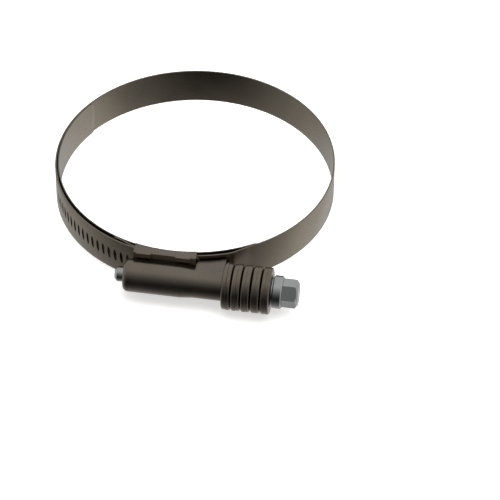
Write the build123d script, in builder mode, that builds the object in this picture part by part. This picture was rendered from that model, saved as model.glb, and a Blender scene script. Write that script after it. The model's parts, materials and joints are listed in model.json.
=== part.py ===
# Constant-tension worm-drive hose clamp, wide open.
# The hose runs along Z through the origin. The screw lies along X on the -Y side, its head at +X.
# Millimetres and degrees. Angles round the ring count from +X towards +Y.
from build123d import *
from math import asin, atan2, cos, degrees, pi, radians, sin
import os

# ---------------------------------------------------------------- driving sizes
seat_radius = 56.0          # hose seat: the inside of the liner
band_width = 15.9
band_thickness = 0.64
liner_thickness = 0.5
layer_gap = 0.04            # between sheets that lie on each other
cut_gap = 0.03              # between two neighbouring spans of the band
liner_cut_gap = 0.08        # the same for the liner, which bends on its outer face
corner_radius = 2.0         # free corners of the strap and the band's tongue
liner_corner_radius = 2.5

# ring: where the band and liner bend
anchor_end_angle = -52.0    # the fixed part of the band ends here, right of the housing
strap_start_angle = 188.0   # the slotted part of the band starts here, left of the housing
spans_per_side = 5
lift_off_angle = 140.0      # from here to the housing the band runs a little outside the liner
liner_right_angle = -53.5
liner_joint_angles = [222.0, 186.0]
liner_left_angle = 150.0

# worm screw
lead = 3.0
strap_rise = 1.9            # how far the strap runs outside the ring, under the worm
worm_radius = 5.7
worm_root_radius = 4.3
thread_root_width = 1.75
thread_crest_width = 0.75
thread_sunk = 0.3           # the thread's foot lies this far inside the worm's core
worm_engagement = 0.5       # how deep the thread reaches into the strap's slots
worm_left = -13.4
worm_length = 20.0
journal_radius = 5.2
tip_radius = 3.0
tip_reach = 3.6
tip_bevel = 1.0
journal_shoulder = 0.8
shank_radius = 3.8
collar_radius = 6.6
collar_length = 3.7
hex_across_flats = 10.0
hex_length = 6.4
hex_turn = -10.5            # how far the head happens to stand turned, in degrees
hex_crown_length = 1.2      # how far the head's corners are turned back
hex_crown_inset = 0.6
turned_clearance = 0.1      # collar and washer on the shank
collar_bevel = 0.4
washer_bevel = 0.1

# housing
sheet_housing = 0.8
worm_clearance = 0.1
housing_left = -17.6
saddle_left = -14.6
saddle_right = 10.4
barrel_start = 14.4
barrel_slope = 3.6
housing_right = 22.0
leg_clearance = 0.15
flange_clearance = 0.12
hole_clearance = 0.2
dome_left_round = 2.0
dome_taper = 5.0            # over this length the dome narrows to the barrel

# raised bed of the band's fixed end, under the housing
anchor_clearance = 0.13     # to the strap that slides over it
tongue_reach = 7.0          # the tongue's end, left of the housing
step_left_foot = 2.6        # the left step runs from here ...
step_left_top = 0.6         # ... to here, past the housing's edge
step_right_top = 1.0
step_right_foot = 5.0

# saddle
sheet_saddle = 0.6
side_clearance = 0.12
tab_length = 6.0
tab_inset_left = 1.0
tab_inset_right = 2.2
tab_fold = 1.9
tab_fit = 0.05

# disc springs
disc_outer_radius = 9.525
disc_thickness = 0.8
disc_cone = 0.3             # how far the rim stands off the inner edge
discs_per_rib = 4
ribs = 5
disc_bore_clearance = 0.3
disc_gap = 0.02
disc_play_share = 0.6       # how much of its loose fit each nested pair hangs off centre
play_turn_y = 2.4           # spreads the directions they hang in
play_turn_z = 3.7
stack_gap = 0.2             # housing to the first disc
washer_thickness = 0.6
washer_radius = 5.6

# slots
slot_count = 26
slot_half_height = 3.0
slot_width = 1.55
slot_past_saddle = 1.5      # the last slot lies within this of the saddle's right edge
slot_end_margin = 2.6

# ---------------------------------------------------------------- worked-out sizes
liner_outer = seat_radius + liner_thickness
band_inner = liner_outer + layer_gap
band_middle = band_inner + band_thickness / 2
saddle_outer = liner_outer + layer_gap + sheet_saddle
axis_y = -(band_middle + strap_rise + band_thickness / 2 - worm_engagement + worm_radius)
lift = strap_rise / (1 + sin(radians(lift_off_angle)))
strap_radius = band_middle + lift
strap_centre = (-lift * cos(radians(lift_off_angle)), -lift * sin(radians(lift_off_angle)))
anchor_radius = strap_radius - band_thickness - anchor_clearance
slot_pitch = degrees(lead / strap_radius)
span_angle = (strap_start_angle - anchor_end_angle) / (2 * spans_per_side)
middle_angle = anchor_end_angle + spans_per_side * span_angle

dome_inner = worm_radius + worm_clearance
dome_outer = dome_inner + sheet_housing
strap_outer_y = strap_centre[1] - strap_radius - band_thickness / 2
flange_inner_y = strap_outer_y - flange_clearance
flange_outer_y = flange_inner_y - sheet_housing
half_width = band_width / 2
side_inner = half_width + side_clearance
side_outer = side_inner + sheet_saddle

os.makedirs("parts", exist_ok=True)


# ---------------------------------------------------------------- helpers
def on_circle(centre, radius, angle):
    """The point at an angle on a circle in the ring's plane."""
    return (centre[0] + radius * cos(radians(angle)), centre[1] + radius * sin(radians(angle)))


def arc_between(centre, radius, start, end):
    """An arc of a circle in the ring's plane, from one angle to another."""
    points = [on_circle(centre, radius, a) for a in (start, (start + end) / 2, end)]
    return ThreePointArc(*points)


def sector(centre, middle_radius, thickness, start, end):
    """A strip bent round a circle, as a face in the ring's plane."""
    with BuildSketch() as strip:
        with BuildLine():
            outer = arc_between(centre, middle_radius + thickness / 2, start, end)
            inner = arc_between(centre, middle_radius - thickness / 2, start, end)
            Line(outer @ 0, inner @ 0)
            Line(outer @ 1, inner @ 1)
        make_face()
    return strip.sketch


def save(part, name):
    """Label a finished piece and write it."""
    part.label = name
    export_step(part, f"parts/{name}.step")


def gap_angle(radius, gap=cut_gap):
    """Half of the cut between two spans, as an angle on this radius."""
    return degrees(gap / 2 / radius)


# ---------------------------------------------------------------- band: the round spans
def ring_span(start, end):
    """One span of the band between two bending places, on the ring or on the strap's circle."""
    trim = gap_angle(band_middle)
    pieces = []
    if start < lift_off_angle:
        stop = min(end - trim, lift_off_angle)
        pieces.append(sector((0, 0), band_middle, band_thickness, start + trim, stop))
    if end > lift_off_angle:
        begin = max(start + trim, lift_off_angle)
        pieces.append(sector(strap_centre, strap_radius, band_thickness, begin, end - trim))
    with BuildPart() as span:
        with BuildSketch(Plane.XY.offset(-half_width)):
            for piece in pieces:
                add(piece)
        extrude(amount=band_width)
    return span.part


for number in range(spans_per_side):
    first = anchor_end_angle + number * span_angle
    save(ring_span(first, first + span_angle), f"band_right_{number + 1}")
for number in range(spans_per_side):
    last = strap_start_angle - number * span_angle
    save(ring_span(last - span_angle, last), f"band_left_{number + 1}")

# ---------------------------------------------------------------- band: the slotted strap
first_slot_angle = 270 + degrees(asin(-strap_centre[0] / strap_radius))
slots_right = int((saddle_right + slot_past_saddle) / lead)
strap_end_angle = first_slot_angle + slots_right * slot_pitch + degrees(slot_end_margin / strap_radius)
slot_lead_angle = degrees(atan2(lead, 2 * pi * worm_radius))

with BuildPart() as strap:
    with BuildSketch(Plane.XY.offset(-half_width)):
        start_angle = strap_start_angle + gap_angle(strap_radius)
        add(sector(strap_centre, strap_radius, band_thickness, start_angle, strap_end_angle))
    extrude(amount=band_width)
    corner_edges = strap.edges().filter_by(lambda e: abs(e.length - band_thickness) < 0.01)
    fillet(corner_edges.sort_by(Axis.X)[-2:], radius=corner_radius)
    for index in range(slot_count):
        angle = first_slot_angle + (slots_right - index) * slot_pitch
        point = on_circle(strap_centre, strap_radius, angle)
        outward = (cos(radians(angle)), sin(radians(angle)), 0)
        along = (-sin(radians(angle)), cos(radians(angle)), 0)
        with BuildSketch(Plane(origin=(*point, 0), x_dir=along, z_dir=outward)):
            with Locations(Rotation(0, 0, slot_lead_angle)):
                SlotOverall(2 * slot_half_height, slot_width, rotation=90)
        extrude(amount=band_thickness, both=True, mode=Mode.SUBTRACT)
save(strap.part, "band_strap")


# ---------------------------------------------------------------- band: the fixed end under the strap
def angle_on_ring(x, radius):
    """The ring angle, below the housing, at which a circle round the origin passes this X."""
    return 270 + degrees(asin(x / radius))


def joggled_path(shift):
    """The fixed end's line, moved outward by shift: ring, step, raised bed, step, ring."""
    ring = band_middle + shift
    bed = anchor_radius + shift
    tongue = angle_on_ring(housing_left - tongue_reach, band_middle)
    left_low = angle_on_ring(housing_left - step_left_foot, band_middle)
    left_high = angle_on_ring(housing_left + step_left_top, band_middle)
    right_high = angle_on_ring(housing_right + step_right_top, band_middle)
    right_low = angle_on_ring(housing_right + step_right_foot, band_middle)
    end = anchor_end_angle + 360 - gap_angle(band_middle)
    first = arc_between((0, 0), ring, tongue, left_low)
    second = arc_between(strap_centre, bed, left_high, right_high)
    third = arc_between((0, 0), ring, right_low, end)
    Line(first @ 1, second @ 0)
    Line(second @ 1, third @ 0)
    return first @ 0, third @ 1


with BuildPart() as anchor:
    with BuildSketch(Plane.XY.offset(-half_width)):
        with BuildLine():
            outer_ends = joggled_path(band_thickness / 2)
            inner_ends = joggled_path(-band_thickness / 2)
            Line(outer_ends[0], inner_ends[0])
            Line(outer_ends[1], inner_ends[1])
        make_face()
    extrude(amount=band_width)
    tongue_edges = anchor.edges().filter_by(lambda e: abs(e.length - band_thickness) < 0.01)
    fillet(tongue_edges.sort_by(Axis.X)[:2], radius=corner_radius)
save(anchor.part, "band_fixed_end")

# ---------------------------------------------------------------- liner
liner_middle = seat_radius + liner_thickness / 2


def liner_span(start, end, name, left_round=False, right_round=False):
    """One span of the liner, its free corners rounded."""
    with BuildPart() as span:
        with BuildSketch(Plane.XY.offset(-half_width)):
            add(sector((0, 0), liner_middle, liner_thickness, start, end))
        extrude(amount=band_width)
        ends = span.edges().filter_by(lambda e: abs(e.length - liner_thickness) < 0.01)
        if left_round:
            fillet(ends.sort_by(Axis.Y)[-2:], radius=liner_corner_radius)
        if right_round:
            fillet(ends.sort_by(Axis.X)[-2:], radius=liner_corner_radius)
    save(span.part, name)


trim = gap_angle(liner_middle, liner_cut_gap)
liner_span(liner_joint_angles[0] + trim, 360 + liner_right_angle, "liner_bed", right_round=True)
liner_span(liner_joint_angles[1] + trim, liner_joint_angles[0] - trim, "liner_left_1")
liner_span(liner_left_angle, liner_joint_angles[1] - trim, "liner_left_2", left_round=True)

# ---------------------------------------------------------------- saddle
tab_starts = [saddle_left + tab_inset_left, saddle_right - tab_inset_right - tab_length]
tab_centres = [start + tab_length / 2 for start in tab_starts]
tab_inner_y = flange_outer_y - layer_gap
tab_outer_y = tab_inner_y - sheet_saddle
saddle_start = angle_on_ring(saddle_left, saddle_outer)
saddle_end = angle_on_ring(saddle_right, saddle_outer)

with BuildPart() as saddle:
    with BuildSketch(Plane.XY.offset(-side_outer)):
        add(sector((0, 0), saddle_outer - sheet_saddle / 2, sheet_saddle, saddle_start, saddle_end))
    extrude(amount=2 * side_outer)
    for side in (1, -1):
        wall_plane = Plane.XY.offset(min(side * side_inner, side * side_outer))
        with BuildSketch(wall_plane):
            with BuildLine():
                bed = arc_between((0, 0), saddle_outer - sheet_saddle, saddle_start, saddle_end)
                top_left = (saddle_left, flange_inner_y + layer_gap)
                top_right = (saddle_right, flange_inner_y + layer_gap)
                Line(bed @ 0, top_left)
                Line(top_left, top_right)
                Line(top_right, bed @ 1)
            make_face()
        extrude(amount=sheet_saddle)
        with BuildSketch(wall_plane):
            for centre in tab_centres:
                height = abs(tab_outer_y - flange_inner_y)
                with Locations((centre, (tab_outer_y + flange_inner_y) / 2 + layer_gap / 2)):
                    Rectangle(tab_length, height + layer_gap)
        extrude(amount=sheet_saddle)
        fold_plane = Plane.XY.offset(min(side * (side_outer - tab_fold), side * side_outer))
        with BuildSketch(fold_plane):
            for centre in tab_centres:
                with Locations((centre, (tab_outer_y + tab_inner_y) / 2)):
                    Rectangle(tab_length, sheet_saddle)
        extrude(amount=tab_fold)
    bends = saddle.edges().filter_by(Axis.X).group_by(Axis.Y)[0]
    outer_bends = [edge for edge in bends if abs(abs(edge.center().Z) - side_outer) < 0.01]
    fillet(outer_bends, radius=0.8 * sheet_saddle)
save(saddle.part, "saddle")

# ---------------------------------------------------------------- housing
strap_top = strap_radius + band_thickness / 2 + leg_clearance
barrel_inner = journal_radius + worm_clearance
barrel_outer = barrel_inner + sheet_housing
barrel_inside_end = housing_right - sheet_housing
flange_length = saddle_right - saddle_left

with BuildPart() as housing:
    # dome over the worm
    with BuildSketch(Plane.YZ.offset(housing_left)):
        with Locations((axis_y, 0)):
            Circle(dome_outer)
    extrude(amount=saddle_right - housing_left)
    end_edges = housing.edges().filter_by(GeomType.CIRCLE).group_by(Axis.X)
    fillet(end_edges[0], radius=dome_left_round)
    right_edge = housing.edges().filter_by(GeomType.CIRCLE).group_by(Axis.X)[-1]
    side_face = housing.faces().filter_by(GeomType.CYLINDER)[0]
    chamfer(right_edge, length=dome_taper, length2=dome_outer - barrel_outer, reference=side_face)
    # nothing of the dome reaches below its flanges
    with BuildSketch(Plane.XY.offset(-2 * dome_outer)):
        with Locations((housing_left - 1, flange_inner_y)):
            Rectangle(barrel_start - housing_left + 1, 2 * dome_outer, align=(Align.MIN, Align.MIN))
    extrude(amount=4 * dome_outer, mode=Mode.SUBTRACT)
    # flanges on the saddle's side walls
    with BuildSketch(Plane.XY.offset(-side_outer)):
        with Locations((saddle_left, flange_outer_y)):
            Rectangle(flange_length, sheet_housing, align=(Align.MIN, Align.MIN))
    extrude(amount=2 * side_outer)
    # barrel with two legs that come down to the strap
    with BuildSketch(Plane.YZ.offset(saddle_right - sheet_housing)):
        with Locations((axis_y, 0)):
            Circle(barrel_outer)
    extrude(amount=housing_right - saddle_right + sheet_housing)
    with BuildSketch(Plane.XY.offset(-barrel_outer)):
        with BuildLine():
            Polyline(
                (barrel_start - barrel_slope, axis_y),
                (barrel_start - barrel_slope, flange_inner_y),
                (barrel_start, -strap_radius + barrel_slope),
                (housing_right, -strap_radius + barrel_slope),
                (housing_right, axis_y),
                close=True,
            )
        make_face()
    extrude(amount=2 * barrel_outer)
    # room for the worm, the journal and the space between the legs
    with BuildSketch(Plane.YZ.offset(housing_left + sheet_housing)):
        with Locations((axis_y, 0)):
            Circle(dome_inner)
    extrude(amount=saddle_right - housing_left - 2 * sheet_housing, mode=Mode.SUBTRACT)
    with BuildSketch(Plane.YZ.offset(saddle_right - 2 * sheet_housing)):
        with Locations((axis_y, 0)):
            Circle(barrel_inner)
    extrude(amount=barrel_inside_end - saddle_right + 2 * sheet_housing, mode=Mode.SUBTRACT)
    with BuildSketch(Plane.XY.offset(-barrel_inner)):
        with Locations((barrel_start - barrel_slope, axis_y)):
            Rectangle(barrel_inside_end - barrel_start + barrel_slope, strap_radius,
                      align=(Align.MIN, Align.MIN))
    extrude(amount=2 * barrel_inner, mode=Mode.SUBTRACT)
    with BuildSketch(Plane.XY.offset(-2 * barrel_outer)):
        with Locations(strap_centre):
            Circle(strap_top)
    extrude(amount=4 * barrel_outer, mode=Mode.SUBTRACT)
    # holes for the screw
    with BuildSketch(Plane.YZ.offset(housing_left - 1)):
        with Locations((axis_y, 0)):
            Circle(tip_radius + hole_clearance)
    extrude(amount=2 * sheet_housing + 1, mode=Mode.SUBTRACT)
    with BuildSketch(Plane.YZ.offset(housing_right + 1)):
        with Locations((axis_y, 0)):
            Circle(shank_radius + hole_clearance)
    extrude(amount=-2 * sheet_housing - 1, mode=Mode.SUBTRACT)
    # notches that the saddle's tabs come through
    for side in (1, -1):
        notch_floor = side_inner - tab_fit
        with BuildSketch(Plane.XY.offset(side * notch_floor)):
            for centre in tab_centres:
                with Locations((centre, (flange_inner_y + flange_outer_y) / 2)):
                    Rectangle(tab_length + 2 * tab_fit, 2 * sheet_housing)
        extrude(amount=side * 2 * sheet_saddle, mode=Mode.SUBTRACT)
save(housing.part, "housing")

# ---------------------------------------------------------------- worm screw
stack_start = housing_right + stack_gap
disc_pitch = disc_thickness + disc_gap
rib_pitch = 2 * disc_cone + discs_per_rib * disc_pitch
stack_end = stack_start + ribs * rib_pitch
washer_start = stack_end + disc_gap
collar_start = washer_start + washer_thickness + disc_gap
hex_start = collar_start + collar_length + disc_gap
hex_end = hex_start + hex_length
tip_end = housing_left - tip_reach
journal_start = worm_left + worm_length
journal_end = barrel_inside_end - worm_clearance
screw_axis = Axis((0, axis_y, 0), (1, 0, 0))
thread_start = -int(-worm_left / lead) * lead + lead / 4
thread_length = lead * int((journal_start - thread_start) / lead)

with BuildPart() as screw:
    with BuildSketch(Plane.XY):
        with BuildLine():
            Polyline(
                (tip_end, axis_y),
                (tip_end, axis_y + tip_radius - tip_bevel),
                (tip_end + tip_bevel, axis_y + tip_radius),
                (worm_left, axis_y + tip_radius),
                (worm_left, axis_y + worm_root_radius),
                (journal_start, axis_y + worm_root_radius),
                (journal_start + journal_shoulder, axis_y + journal_radius),
                (journal_end, axis_y + journal_radius),
                (journal_end, axis_y + shank_radius),
                (hex_start, axis_y + shank_radius),
                (hex_start, axis_y),
                close=True,
            )
        make_face()
    revolve(axis=screw_axis)
    with BuildSketch(Plane.YZ.offset(hex_start)):
        with Locations((axis_y, 0)):
            RegularPolygon(hex_across_flats / 2, side_count=6, major_radius=False, rotation=hex_turn)
    extrude(amount=hex_length)
    with BuildSketch(Plane.XY):
        with BuildLine():
            corner = hex_across_flats / 2 / cos(radians(30))
            Polyline(
                (hex_end - hex_crown_length, axis_y + corner),
                (hex_end, axis_y + hex_across_flats / 2 - hex_crown_inset),
                (hex_end, axis_y + corner),
                close=True,
            )
        make_face()
    revolve(axis=screw_axis, mode=Mode.SUBTRACT)
    with BuildLine() as thread_line:
        Helix(pitch=lead, height=thread_length, radius=worm_root_radius,
              center=(thread_start, axis_y, 0), direction=(1, 0, 0))
    start = thread_line.line @ 0
    outward = Vector(0, start.Y - axis_y, start.Z).normalized()
    with BuildSketch(Plane(origin=start, x_dir=outward, z_dir=thread_line.line % 0)):
        with BuildLine():
            Polyline(
                (-thread_sunk, -thread_root_width / 2),
                (worm_radius - worm_root_radius, -thread_crest_width / 2),
                (worm_radius - worm_root_radius, thread_crest_width / 2),
                (-thread_sunk, thread_root_width / 2),
                close=True,
            )
        make_face()
    sweep(path=thread_line.line, is_frenet=True)
save(screw.part, "screw")

# ---------------------------------------------------------------- collar, thrust washer, disc springs


def turned_ring(inner, outer, start_x, length, name, bevel):
    """A plain ring on the screw axis."""
    with BuildPart() as ring:
        with BuildSketch(Plane.YZ.offset(start_x)):
            with Locations((axis_y, 0)):
                Circle(outer)
                Circle(inner, mode=Mode.SUBTRACT)
        extrude(amount=length)
        rims = ring.edges().filter_by(lambda e: abs(e.length - 2 * pi * outer) < 0.01)
        chamfer(rims, length=bevel)
    save(ring.part, name)


ring_bore = shank_radius + turned_clearance
turned_ring(ring_bore, collar_radius, collar_start, collar_length, "thrust_collar", collar_bevel)
turned_ring(ring_bore, washer_radius, washer_start, washer_thickness, "thrust_washer", washer_bevel)

disc_inner_radius = shank_radius + disc_bore_clearance
for number in range(ribs * discs_per_rib):
    rib, place = divmod(number, discs_per_rib)
    opens_left = place < discs_per_rib / 2
    rim_x = stack_start + rib * rib_pitch + disc_cone + place * disc_pitch
    bore_x = rim_x - disc_cone if opens_left else rim_x + disc_cone
    # each nested pair hangs a little to one side on its loose fit
    play = disc_play_share * disc_bore_clearance
    centre_y = axis_y + play * sin(play_turn_y * (number // 2))
    centre_z = play * cos(play_turn_z * (number // 2))
    with BuildPart() as disc:
        with BuildSketch(Plane.XY.offset(centre_z)):
            with BuildLine():
                Polyline(
                    (bore_x, centre_y + disc_inner_radius + play),
                    (rim_x, centre_y + disc_outer_radius - play),
                    (rim_x + disc_thickness, centre_y + disc_outer_radius - play),
                    (bore_x + disc_thickness, centre_y + disc_inner_radius + play),
                    close=True,
                )
            make_face()
        revolve(axis=Axis((0, centre_y, centre_z), (1, 0, 0)))
    save(disc.part, f"disc_spring_{number + 1:02d}")
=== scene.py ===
"""Looks of the constant-tension hose clamp: sheet-metal band pieces, pressed housing, disc springs and
zinc-plated screw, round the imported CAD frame. Metres everywhere; angles round the ring from +X to +Y."""
import json
from math import asin, atan2, ceil, cos, degrees, pi, radians, sin, sqrt

import bmesh
import bpy
from mathutils import Matrix, Vector


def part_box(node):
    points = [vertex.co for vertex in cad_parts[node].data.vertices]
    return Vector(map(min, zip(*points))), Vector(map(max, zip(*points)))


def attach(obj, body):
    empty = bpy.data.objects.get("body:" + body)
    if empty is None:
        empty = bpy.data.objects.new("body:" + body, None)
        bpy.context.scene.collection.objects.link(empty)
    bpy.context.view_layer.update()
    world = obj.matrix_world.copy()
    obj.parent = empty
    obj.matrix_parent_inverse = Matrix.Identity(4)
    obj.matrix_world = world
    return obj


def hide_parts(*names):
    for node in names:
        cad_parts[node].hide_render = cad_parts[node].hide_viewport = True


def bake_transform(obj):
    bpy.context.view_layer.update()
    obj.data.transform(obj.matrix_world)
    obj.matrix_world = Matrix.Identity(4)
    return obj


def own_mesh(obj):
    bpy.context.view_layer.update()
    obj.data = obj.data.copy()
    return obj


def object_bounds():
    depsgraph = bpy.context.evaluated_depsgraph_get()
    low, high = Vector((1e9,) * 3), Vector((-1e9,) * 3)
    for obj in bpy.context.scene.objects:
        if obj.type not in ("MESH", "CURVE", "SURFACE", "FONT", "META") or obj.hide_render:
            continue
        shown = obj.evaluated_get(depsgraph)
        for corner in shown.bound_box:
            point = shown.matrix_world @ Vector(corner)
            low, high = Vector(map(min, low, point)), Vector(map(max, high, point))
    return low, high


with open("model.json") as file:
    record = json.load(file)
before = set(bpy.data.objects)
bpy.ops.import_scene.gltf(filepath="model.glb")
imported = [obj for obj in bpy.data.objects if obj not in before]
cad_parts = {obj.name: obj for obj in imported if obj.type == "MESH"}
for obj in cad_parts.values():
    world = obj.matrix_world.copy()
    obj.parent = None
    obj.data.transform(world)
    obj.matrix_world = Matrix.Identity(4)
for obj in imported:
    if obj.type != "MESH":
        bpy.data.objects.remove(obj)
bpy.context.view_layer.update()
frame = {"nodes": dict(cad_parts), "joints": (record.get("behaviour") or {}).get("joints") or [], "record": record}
MM = 0.001
joints = {joint["name"]: joint for joint in frame["joints"]}
nodes = frame["nodes"]
scene = bpy.context.scene


# ---------------------------------------------------------------- places, from the frame
def pivot(joint):
    """Where a hinge's axis passes, in the ring's plane."""
    x, y, _ = joints[joint]["pos_m"]
    return Vector((x, y))


def angle_of(point, centre=Vector((0, 0))):
    """The angle at which a point stands round a centre, from 0 to 360 degrees."""
    return degrees(atan2(point.y - centre.y, point.x - centre.x)) % 360


ring_centre = Vector((0, 0))
ring_radius = pivot("band_right_1_bend").length
strap_centre = pivot("strap_travel")
strap_radius = (pivot("band_left_1_bend") - strap_centre).length
half_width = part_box("band_right_3")[1].z
band_thickness = 2 * (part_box("band_right_3")[1].x - ring_radius)
liner_outer = pivot("liner_left_1_bend").length
liner_inner = next(m for m in frame["record"]["mounts"] if m["name"] == "hose_seat")["dims"]["r_mm"] * MM
housing_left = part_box("housing")[0].x
housing_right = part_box("housing")[1].x
right_bends = [(angle_of(pivot(f"band_right_{n}_bend")) + 180) % 360 - 180 for n in range(1, 6)]
left_bends = [angle_of(pivot("band_left_1_bend"), strap_centre), angle_of(pivot("band_left_2_bend"), strap_centre)]
left_bends += [angle_of(pivot(f"band_left_{n}_bend")) for n in range(3, 6)]
span_angle = right_bends[2] - right_bends[1]
lift_off_angle = angle_of(pivot("band_left_3_bend"))
open_angle = right_bends[4] + span_angle
lead = 2 * pi * strap_radius * next(
    c["ratio"] for c in frame["record"]["behaviour"]["couplings"] if c["joint"] == "strap_travel")


# ---------------------------------------------------------------- sheet-metal pieces
EDGE = 0.13 * MM        # rounding of the rolled band's long edges
STATION = 0.8 * MM      # length of one mesh step along a band
TONGUE_SHARE = 0.62     # how thick a lap's tongue is, of the band
TONGUE_SLACK = 0.1 * MM
CREASE = 38.0           # degrees above which an edge is drawn sharp


def arc(centre, radius, start, end):
    """Points along an arc, one mesh step apart, as (point, outward direction)."""
    steps = max(2, ceil(radians(abs(end - start)) * radius / STATION))
    out = []
    for step in range(steps + 1):
        turn = radians(start + (end - start) * step / steps)
        outward = Vector((cos(turn), sin(turn)))
        out.append((centre + radius * outward, outward))
    return out


def band_line(start, end):
    """The band's middle line: the ring, or past the lift-off angle the strap's own circle."""
    if end <= lift_off_angle:
        return arc(ring_centre, ring_radius, start, end)
    if start >= lift_off_angle:
        return arc(strap_centre, strap_radius, start, end)
    first = arc(ring_centre, ring_radius, start, lift_off_angle)
    return first + arc(strap_centre, strap_radius, lift_off_angle, end)[1:]


def bent_line(stretches, rounding):
    """Joins stretches of points with straight steps and rounds the bends by smoothing."""
    points = [p for p, _ in stretches[0]]
    for stretch in stretches[1:]:
        goal = stretch[0][0]
        steps = ceil((goal - points[-1]).length / (STATION / 4))
        last = points[-1]
        points += [last.lerp(goal, step / steps) for step in range(1, steps)]
        points += [p for p, _ in stretch]
    fine = [points[0]]
    for point in points[1:]:
        steps = max(1, ceil((point - fine[-1]).length / (STATION / 3)))
        last = fine[-1]
        fine += [last.lerp(point, step / steps) for step in range(1, steps + 1)]
    for _ in range(rounding):
        fine = [fine[0]] + [(a + 2 * b + c) / 4 for a, b, c in zip(fine, fine[1:], fine[2:])] + [fine[-1]]
    out = []
    for index, point in enumerate(fine):
        along = fine[min(index + 1, len(fine) - 1)] - fine[max(index - 1, 0)]
        outward = Vector((along.y, -along.x)).normalized()
        if outward.dot(point) < 0:
            outward = -outward
        out.append((point, outward))
    return out


def section(half_thick, half_wide, edge):
    """A strip's cross-section with rounded edges, as (outward, z) pairs in order."""
    edge = min(edge, 0.95 * half_thick)
    out = []
    for quarter, (side, level) in enumerate(((1, 1), (-1, 1), (-1, -1), (1, -1))):
        for step in range(4):
            turn = radians(90 * quarter + 30 * step)
            out.append((side * (half_thick - edge) + edge * cos(turn), level * (half_wide - edge) + edge * sin(turn)))
    return out


def finish_mesh(bm, name):
    """Turns a bmesh into a piece in the scene, with its normals outward and its corners sharp."""
    bmesh.ops.recalc_face_normals(bm, faces=bm.faces)
    for edge in bm.edges:
        if len(edge.link_faces) == 2 and edge.calc_face_angle(0) > radians(CREASE):
            edge.smooth = False
    mesh = bpy.data.meshes.new(name)
    bm.to_mesh(mesh)
    bm.free()
    piece = bpy.data.objects.new(name, mesh)
    scene.collection.objects.link(piece)
    return piece


def sheet(name, line, thickness, corner_start=0.0, corner_end=0.0, lap=0.0):
    """A solid strip of sheet metal along a line of (point, outward direction).
    Its ends may have rounded corners; over the length lap, the far end is a thinner tongue."""
    lengths = [0.0]
    for (a, _), (b, _) in zip(line, line[1:]):
        lengths.append(lengths[-1] + (b - a).length)
    total = lengths[-1]
    extra = []
    for size, from_start in ((corner_start, True), (corner_end, False)):
        if size:
            extra += [(size * (1 - cos(radians(turn)))) if from_start else total - size * (1 - cos(radians(turn)))
                      for turn in range(0, 91, 10)]
    if lap:
        extra += [total - lap, total - lap + 0.01 * MM]
    stations = sorted(set(round(v, 9) for v in lengths + extra))
    bm = bmesh.new()
    uv = bm.loops.layers.uv.new("along")
    rings, marks = [], []
    place = 0
    for distance in stations:
        while place < len(lengths) - 2 and lengths[place + 1] < distance:
            place += 1
        share = (distance - lengths[place]) / max(lengths[place + 1] - lengths[place], 1e-12)
        share = min(max(share, 0), 1)
        point = line[place][0].lerp(line[place + 1][0], share)
        outward = line[place][1].lerp(line[place + 1][1], share).normalized()
        wide = half_width
        for size, gone in ((corner_start, distance), (corner_end, total - distance)):
            if size and gone < size:
                wide -= size - sqrt(max(size ** 2 - (size - gone) ** 2, 0))
        thick = thickness / 2
        if lap and distance > total - lap:
            thick *= TONGUE_SHARE
            wide -= TONGUE_SLACK
        ring = []
        for out, level in section(thick, wide, EDGE):
            place_3d = (point.x + out * outward.x, point.y + out * outward.y, level)
            ring.append(bm.verts.new(place_3d))
        rings.append(ring)
        marks.append(distance)
    count = len(rings[0])
    for (ring, mark), (after, next_mark) in zip(zip(rings, marks), zip(rings[1:], marks[1:])):
        for index in range(count):
            turn = (index + 1) % count
            face = bm.faces.new((ring[index], ring[turn], after[turn], after[index]))
            face.smooth = True
            for loop, along in zip(face.loops, (mark, mark, next_mark, next_mark)):
                loop[uv].uv = (along / MM, loop.vert.co.z / MM)
    for ring in (rings[0], rings[-1]):
        face = bm.faces.new(ring)
        for loop in face.loops:
            loop[uv].uv = (0, loop.vert.co.z / MM)
    return finish_mesh(bm, name)


# ---------------------------------------------------------------- materials
def add_node(tree, kind, **values):
    """A shader node with its input values set by name or number."""
    node = tree.nodes.new(kind)
    for key, value in values.items():
        if hasattr(node, key):
            setattr(node, key, value)
        else:
            node.inputs[key].default_value = value
    return node


def ramp(tree, source, low, high, out_low, out_high):
    """Maps a value from one range onto another."""
    node = add_node(tree, "ShaderNodeMapRange")
    node.inputs["From Min"].default_value = low
    node.inputs["From Max"].default_value = high
    node.inputs["To Min"].default_value = out_low
    node.inputs["To Max"].default_value = out_high
    tree.links.new(source, node.inputs["Value"])
    return node.outputs["Result"]


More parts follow.
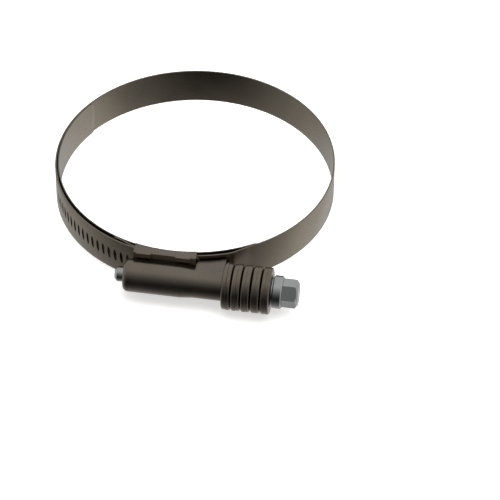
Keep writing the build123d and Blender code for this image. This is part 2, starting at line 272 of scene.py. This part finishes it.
def metal(name, light, dark, rough, grain, streaks, blotches=60.0, bump=0.12, uv=False, grime=0.0):
    """Worked metal: fine streaks in colour, gloss and height, broad blotches, and rolled or ground grain.
    grain gives the streaks' fineness along X, Y and Z (or along and across the strip, with uv)."""
    material = bpy.data.materials.new(name)
    material.use_nodes = True
    tree = material.node_tree
    shader = tree.nodes["Principled BSDF"]
    shader.inputs["Metallic"].default_value = 1.0
    coords = add_node(tree, "ShaderNodeTexCoord")
    source = coords.outputs["UV"] if uv else coords.outputs["Object"]
    stretch = add_node(tree, "ShaderNodeMapping")
    stretch.inputs["Scale"].default_value = grain
    tree.links.new(source, stretch.inputs["Vector"])
    fine = add_node(tree, "ShaderNodeTexNoise", Scale=1.0, Detail=6.0, Roughness=0.65)
    tree.links.new(stretch.outputs["Vector"], fine.inputs["Vector"])
    broad = add_node(tree, "ShaderNodeTexNoise", Scale=blotches, Detail=4.0, Roughness=0.55)
    tree.links.new(coords.outputs["Object"], broad.inputs["Vector"])
    speck = add_node(tree, "ShaderNodeTexNoise", Scale=2600.0, Detail=2.0, Roughness=0.7)
    tree.links.new(coords.outputs["Object"], speck.inputs["Vector"])

    both = add_node(tree, "ShaderNodeMath", operation="MULTIPLY_ADD")
    tree.links.new(fine.outputs["Fac"], both.inputs[0])
    both.inputs[1].default_value = streaks
    tree.links.new(ramp(tree, broad.outputs["Fac"], 0.3, 0.7, 0.0, 1.0 - streaks), both.inputs[2])
    blend = add_node(tree, "ShaderNodeMix", data_type="RGBA")
    colour_inputs = [s for s in blend.inputs if s.type == "RGBA"]
    colour_inputs[0].default_value = (*dark, 1)
    colour_inputs[1].default_value = (*light, 1)
    tree.links.new(both.outputs[0], blend.inputs[0])
    tint = [s for s in blend.outputs if s.type == "RGBA"][0]
    if grime:
        spots = add_node(tree, "ShaderNodeMix", data_type="RGBA")
        spot_inputs = [s for s in spots.inputs if s.type == "RGBA"]
        tree.links.new(ramp(tree, speck.outputs["Fac"], 0.56, 0.72, 0.0, grime), spots.inputs[0])
        tree.links.new(tint, spot_inputs[0])
        spot_inputs[1].default_value = (*[0.45 * c for c in dark], 1)
        tint = [s for s in spots.outputs if s.type == "RGBA"][0]
    tree.links.new(tint, shader.inputs["Base Color"])
    gloss = add_node(tree, "ShaderNodeMath", operation="MULTIPLY_ADD")
    tree.links.new(fine.outputs["Fac"], gloss.inputs[0])
    gloss.inputs[1].default_value = rough[1] - rough[0]
    tree.links.new(ramp(tree, broad.outputs["Fac"], 0.3, 0.7, rough[0] - 0.03, rough[0] + 0.05), gloss.inputs[2])
    tree.links.new(gloss.outputs[0], shader.inputs["Roughness"])
    height = add_node(tree, "ShaderNodeMath", operation="MULTIPLY_ADD")
    tree.links.new(fine.outputs["Fac"], height.inputs[0])
    height.inputs[1].default_value = 0.7
    tree.links.new(ramp(tree, speck.outputs["Fac"], 0.0, 1.0, 0.0, 0.3), height.inputs[2])
    relief = add_node(tree, "ShaderNodeBump", Strength=bump, Distance=0.05 * MM)
    tree.links.new(height.outputs[0], relief.inputs["Height"])
    tree.links.new(relief.outputs["Normal"], shader.inputs["Normal"])
    return material


band_steel = metal("band_stainless", (0.30, 0.265, 0.215), (0.19, 0.165, 0.13), (0.20, 0.34),
                   (0.25, 9.0, 1.0), 0.55, uv=True, bump=0.10)
liner_steel = metal("liner_stainless", (0.29, 0.26, 0.215), (0.19, 0.17, 0.14), (0.18, 0.30),
                    (0.25, 9.0, 1.0), 0.5, uv=True, bump=0.08)
pressed_steel = metal("pressed_stainless", (0.275, 0.243, 0.208), (0.18, 0.157, 0.132), (0.20, 0.32),
                      (260.0, 2400.0, 2400.0), 0.5, bump=0.10, grime=0.35)
spring_steel = metal("spring_stainless", (0.32, 0.28, 0.235), (0.14, 0.12, 0.095), (0.20, 0.34),
                     (2600.0, 420.0, 420.0), 0.7, bump=0.25, grime=0.6)
zinc = metal("zinc_plating", (0.58, 0.60, 0.61), (0.40, 0.42, 0.44), (0.10, 0.20),
             (700.0, 700.0, 700.0), 0.5, bump=0.06, grime=0.25)


def coat(piece, material):
    """Gives a piece its material."""
    piece.data.materials.clear()
    piece.data.materials.append(material)


def coat_node(name, material):
    """Gives a CAD node its material."""
    slots = nodes[name].data.materials
    for index in range(len(slots)):
        slots[index] = material
    if not len(slots):
        slots.append(material)


# ---------------------------------------------------------------- the band
LAP = 1.6 * MM          # tongue inside the joint that stands opposite the housing


def bend(piece):
    """Bakes a strip's placement into its mesh."""
    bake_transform(piece)


def angle_at(x, radius=ring_radius):
    """The ring angle, at the housing, at which this circle passes an X."""
    return 270 + degrees(asin(x / radius))


BED_GAP = 0.13 * MM         # between the raised bed and the strap that slides over it
BAND_CORNER = 2.0 * MM
LINER_CORNER = 2.5 * MM
STEP_LEFT_FOOT = 2.6 * MM   # the steps' places, from the housing's ends
STEP_LEFT_TOP = 0.6 * MM
STEP_RIGHT_TOP = 1.0 * MM
STEP_RIGHT_FOOT = 8.5 * MM


def make_fixed_end():
    """The band's end under the housing: tongue, step up, raised bed, step down, and on round the ring."""
    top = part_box("band_fixed_end")
    bed_radius = strap_radius - band_thickness - BED_GAP
    tongue = arc(ring_centre, ring_radius, angle_at(top[0].x), angle_at(housing_left - STEP_LEFT_FOOT))
    bed_start, bed_end = angle_at(housing_left + STEP_LEFT_TOP), angle_at(housing_right + STEP_RIGHT_TOP)
    bed = arc(strap_centre, bed_radius, bed_start, bed_end)
    foot_start = angle_at(housing_right + STEP_RIGHT_FOOT)
    foot = arc(ring_centre, ring_radius, foot_start, 360 + right_bends[0] + span_angle / 2)
    line = bent_line([tongue, bed, foot], rounding=24)
    piece = sheet("band_end_and_span", line, band_thickness, corner_start=BAND_CORNER)
    bend(piece)
    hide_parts("band_fixed_end", "band_right_1")
    coat(piece, band_steel)


def make_right_spans():
    """The plain band from the fixed end round to the joint opposite the housing."""
    for number in range(1, 5):
        angle = right_bends[number]
        last = number == 4
        end = open_angle + degrees(LAP / ring_radius) if last else angle + span_angle / 2
        line = band_line(angle - span_angle / 2, end)
        piece = sheet(f"band_right_bend_{number}", line, band_thickness, lap=LAP if last else 0)
        bend(piece)
        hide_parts(f"band_right_{number + 1}")
        coat(piece, band_steel)


def make_left_spans():
    """The plain band from the slotted strap round to the same joint."""
    for number in range(1, 5):
        angle = left_bends[number]
        start = angle - span_angle / 2 if number < 4 else open_angle
        piece = sheet(f"band_left_bend_{number}", band_line(start, angle + span_angle / 2), band_thickness)
        bend(piece)
        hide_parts(f"band_left_{number + 1}")
        coat(piece, band_steel)


SLOTS = 26
SLOTS_RIGHT_OF_MIDDLE = 3
SLOT_HALF_HEIGHT = 3.0 * MM
SLOT_HALF_WIDTH = 0.74 * MM
SLOT_POINTS = 28
CUT_DEPTH = 1.2 * MM        # how far the cutter stands off the strap's middle
WORM_RADIUS = 5.7 * MM
SLOT_LEAN = atan2(lead, 2 * pi * WORM_RADIUS)     # radians


def slot_cutter():
    """One solid for every slot, lens-shaped and leaning with the worm's thread."""
    bm = bmesh.new()
    first = angle_at(-strap_centre.x, strap_radius)
    pitch = degrees(lead / strap_radius)
    outline = []
    for step in range(SLOT_POINTS):
        turn = 2 * pi * step / SLOT_POINTS
        level = sin(turn)
        outline.append((SLOT_HALF_WIDTH * cos(turn) * (1 - level ** 2) ** 0.18, SLOT_HALF_HEIGHT * level))
    for index in range(SLOTS):
        angle = radians(first + (SLOTS_RIGHT_OF_MIDDLE - index) * pitch)
        outward = Vector((cos(angle), sin(angle), 0))
        along = Vector((-sin(angle), cos(angle), 0))
        rings = []
        for depth in (-CUT_DEPTH, CUT_DEPTH):
            middle = Vector((strap_centre.x, strap_centre.y, 0)) + outward * (strap_radius + depth)
            ring = []
            for aside, level in outline:
                across = aside * cos(SLOT_LEAN) - level * sin(SLOT_LEAN)
                height = aside * sin(SLOT_LEAN) + level * cos(SLOT_LEAN)
                ring.append(bm.verts.new(middle + along * across + Vector((0, 0, height))))
            rings.append(ring)
        for step in range(len(outline)):
            after = (step + 1) % len(outline)
            bm.faces.new((rings[0][step], rings[0][after], rings[1][after], rings[1][step]))
        bm.faces.new(rings[0])
        bm.faces.new(rings[1])
    bmesh.ops.recalc_face_normals(bm, faces=bm.faces)
    mesh = bpy.data.meshes.new("slot_cutter")
    bm.to_mesh(mesh)
    bm.free()
    cutter = bpy.data.objects.new("slot_cutter", mesh)
    scene.collection.objects.link(cutter)
    return cutter


def cut(piece, cutter):
    """Takes the cutter out of the piece, and removes the cutter."""
    difference = piece.modifiers.new("cut", "BOOLEAN")
    difference.operation = "DIFFERENCE"
    difference.solver = "EXACT"
    difference.object = cutter
    bpy.context.view_layer.update()
    graph = bpy.context.evaluated_depsgraph_get()
    mesh = bpy.data.meshes.new_from_object(piece.evaluated_get(graph))
    piece.modifiers.clear()
    piece.data = mesh
    bpy.data.objects.remove(cutter)


def make_strap():
    """The slotted strap, with the first half of the round band that leads away from it."""
    free_end = angle_at(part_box("band_strap")[1].x - strap_centre.x, strap_radius)
    line = band_line(left_bends[0] - span_angle / 2, free_end)
    piece = sheet("band_slotted_strap", line, band_thickness, corner_end=BAND_CORNER)
    cut(piece, slot_cutter())
    bend(piece)
    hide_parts("band_strap", "band_left_1")
    coat(piece, band_steel)


def make_liner():
    """The smooth liner between the hose and the band."""
    radius = (liner_outer + liner_inner) / 2
    thickness = liner_outer - liner_inner
    first = angle_of(pivot("liner_left_1_bend"))
    second = angle_of(pivot("liner_left_2_bend"))
    right_end = angle_at(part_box("liner_bed")[1].x, liner_outer)
    left_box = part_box("liner_left_2")
    left_end = 180 - degrees(asin(left_box[1].y / liner_inner)) - 0.25
    middle = (first + second) / 2
    bed = sheet("liner_bed_sheet", arc(ring_centre, radius, middle, right_end), thickness, corner_end=LINER_CORNER)
    bend(bed)
    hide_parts("liner_bed", "liner_left_1")
    tail = sheet("liner_tail_sheet", arc(ring_centre, radius, left_end, middle), thickness, corner_start=LINER_CORNER)
    bend(tail)
    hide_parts("liner_left_2")
    for piece in (bed, tail):
        coat(piece, liner_steel)


# ---------------------------------------------------------------- the disc springs
RIM_HEIGHT = 0.9 * MM       # how far down its flank a rib's rounded rim reaches
SEGMENTS = 128


DISCS_PER_RIB = 4
RIBS = 5
SHOULDER = (0.85, RIM_HEIGHT)       # (share of the thickness, height) of a rim's rounding
NESTED_EDGE = (0.08, 0.1 * MM)      # where it faces the next disc in its rib
INNER_EDGE = (0.12, 0.1 * MM)


def rounded(face, rim, share, height, thick, way):
    """A disc's rim from one face outward, as (x, radius) pairs; way is 1 on the left, -1 on the right."""
    turns = [radians(15 * step) for step in range(7)]
    return [(face + way * share * thick * (1 - sin(turn)), rim - height * (1 - cos(turn))) for turn in turns]


def disc_profile(name, place):
    """A disc spring's cross-section as (x, radius) pairs, with a rounded rim, and its centre.
    The first and last disc of a rib carry the rib's rounded shoulders."""
    low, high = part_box(name)
    centre = (low + high) / 2
    corners = [(v.co.x, (Vector((v.co.y, v.co.z)) - centre.yz).length) for v in nodes[name].data.vertices]
    rim = (high.y - low.y) / 2
    bore = min(radius for _, radius in corners)
    at_rim = [x for x, radius in corners if radius > (rim + bore) / 2]
    at_bore = [x for x, radius in corners if radius < (rim + bore) / 2]
    thick = max(at_rim) - min(at_rim)
    left, right = {0: (SHOULDER, NESTED_EDGE), DISCS_PER_RIB - 1: (NESTED_EDGE, SHOULDER)}.get(
        place, (INNER_EDGE, INNER_EDGE))
    profile = [(min(at_bore), bore)] + rounded(min(at_rim), rim, *left, thick, 1)[::-1]
    profile += rounded(max(at_rim), rim, *right, thick, -1) + [(max(at_bore), bore)]
    return profile, centre


def make_disc(number):
    """One disc spring, turned from its profile, in place of the CAD's sharp-edged one."""
    name = f"disc_spring_{number:02d}"
    rib, place = divmod(number - 1, DISCS_PER_RIB)
    profile, centre = disc_profile(name, place)
    bm = bmesh.new()
    rings = []
    for step in range(SEGMENTS):
        turn = 2 * pi * step / SEGMENTS
        rings.append([bm.verts.new((x, centre.y + r * cos(turn), centre.z + r * sin(turn))) for x, r in profile])
    for ring, after in zip(rings, rings[1:] + rings[:1]):
        for index in range(len(profile)):
            following = (index + 1) % len(profile)
            bm.faces.new((ring[index], ring[following], after[following], after[index])).smooth = True
    piece = finish_mesh(bm, f"disc_{number:02d}_turned")
    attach(piece, f"disc_pack_{rib + 1}")
    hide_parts(name)
    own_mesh(piece)
    coat(piece, spring_steel)


make_fixed_end()
make_right_spans()
make_strap()
make_left_spans()
make_liner()
coat_node("housing", pressed_steel)
coat_node("saddle", pressed_steel)
coat_node("screw", zinc)
coat_node("thrust_collar", zinc)
coat_node("thrust_washer", zinc)
for number in range(1, RIBS * DISCS_PER_RIB + 1):
    make_disc(number)


# ---------------------------------------------------------------- camera, floor and light
def place_camera():
    """The photograph's view: a long lens, from the front and above, with the object a little off centre."""
    turned, raised, rolled = radians(8.64), radians(42.95), radians(-0.58)
    distance, aside, lowered = 1146.4 * MM, 22.67 * MM, -31.36 * MM
    back = Vector((sin(turned) * cos(raised), -cos(turned) * cos(raised), sin(raised)))
    right = Vector((cos(turned), sin(turned), 0))
    up = back.cross(right)
    data = bpy.data.cameras.new("camera")
    data.sensor_width = 36.0
    data.lens = 200.2
    data.clip_start = 0.01
    camera = bpy.data.objects.new("camera", data)
    scene.collection.objects.link(camera)
    across = cos(rolled) * right - sin(rolled) * up
    upward = sin(rolled) * right + cos(rolled) * up
    camera.matrix_world = Matrix((across, upward, back)).transposed().to_4x4()
    camera.location = back * distance + right * aside + up * lowered
    scene.camera = camera


def make_floor():
    """A plain pale floor under the lowest disc springs."""
    size, level = 3.0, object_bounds()[0][2]
    mesh = bpy.data.meshes.new("floor")
    mesh.from_pydata([(-size, -size, level), (size, -size, level), (size, size, level), (-size, size, level)],
                     [], [(0, 1, 2, 3)])
    floor = bpy.data.objects.new("floor", mesh)
    scene.collection.objects.link(floor)
    material = bpy.data.materials.new("pale_floor")
    material.use_nodes = True
    shader = material.node_tree.nodes["Principled BSDF"]
    shader.inputs["Base Color"].default_value = (0.93, 0.93, 0.925, 1)
    shader.inputs["Roughness"].default_value = 0.9
    shader.inputs["Emission Color"].default_value = (1, 1, 1, 1)
    shader.inputs["Emission Strength"].default_value = 0.45
    mesh.materials.append(material)
    floor.visible_glossy = False


def glow_towards(tree, direction, wide, narrow, outside, inside, shape="LINEAR"):
    """Light that goes from one strength to another within a cone, given by two angles in degrees."""
    facing = add_node(tree, "ShaderNodeVectorMath", operation="DOT_PRODUCT")
    tree.links.new(add_node(tree, "ShaderNodeTexCoord").outputs["Generated"], facing.inputs[0])
    facing.inputs[1].default_value = Vector(direction).normalized()
    level = ramp(tree, facing.outputs["Value"], cos(radians(wide)), cos(radians(narrow)), outside, inside)
    level.node.interpolation_type = shape
    return level


def light_studio():
    """Soft light all round, darkest in front of the object, with a bright side low on the right."""
    world = bpy.data.worlds.new("studio")
    scene.world = world
    world.use_nodes = True
    tree = world.node_tree
    background = tree.nodes["Background"]
    total = add_node(tree, "ShaderNodeMath", operation="ADD")
    tree.links.new(glow_towards(tree, (0.0, -0.98, -0.2), 90, 0, 0.61, 0.02), total.inputs[0])
    tree.links.new(glow_towards(tree, (0.68, 0.45, -0.58), 38, 5, 0.0, 0.3, "SMOOTHSTEP"), total.inputs[1])
    tree.links.new(total.outputs[0], background.inputs["Strength"])
    background.inputs["Color"].default_value = (1.0, 0.985, 0.96, 1)
    for name, place, size, power in (
        ("overhead", (0.1, 0.2, 1.3), 1.6, 20.0),
        ("left_front", (-0.9, -0.9, 0.5), 0.5, 6.0),
        ("right_back", (0.9, 0.7, 0.5), 0.5, 5.0),
    ):
        data = bpy.data.lights.new(name, "AREA")
        data.size = size
        data.energy = power
        light = bpy.data.objects.new(name, data)
        scene.collection.objects.link(light)
        light.location = place
        light.rotation_euler = (Vector((0, 0, 0)) - Vector(place)).to_track_quat("-Z", "Y").to_euler()
        light.visible_glossy = False


place_camera()
make_floor()
light_studio()
scene.view_settings.view_transform = "Standard"
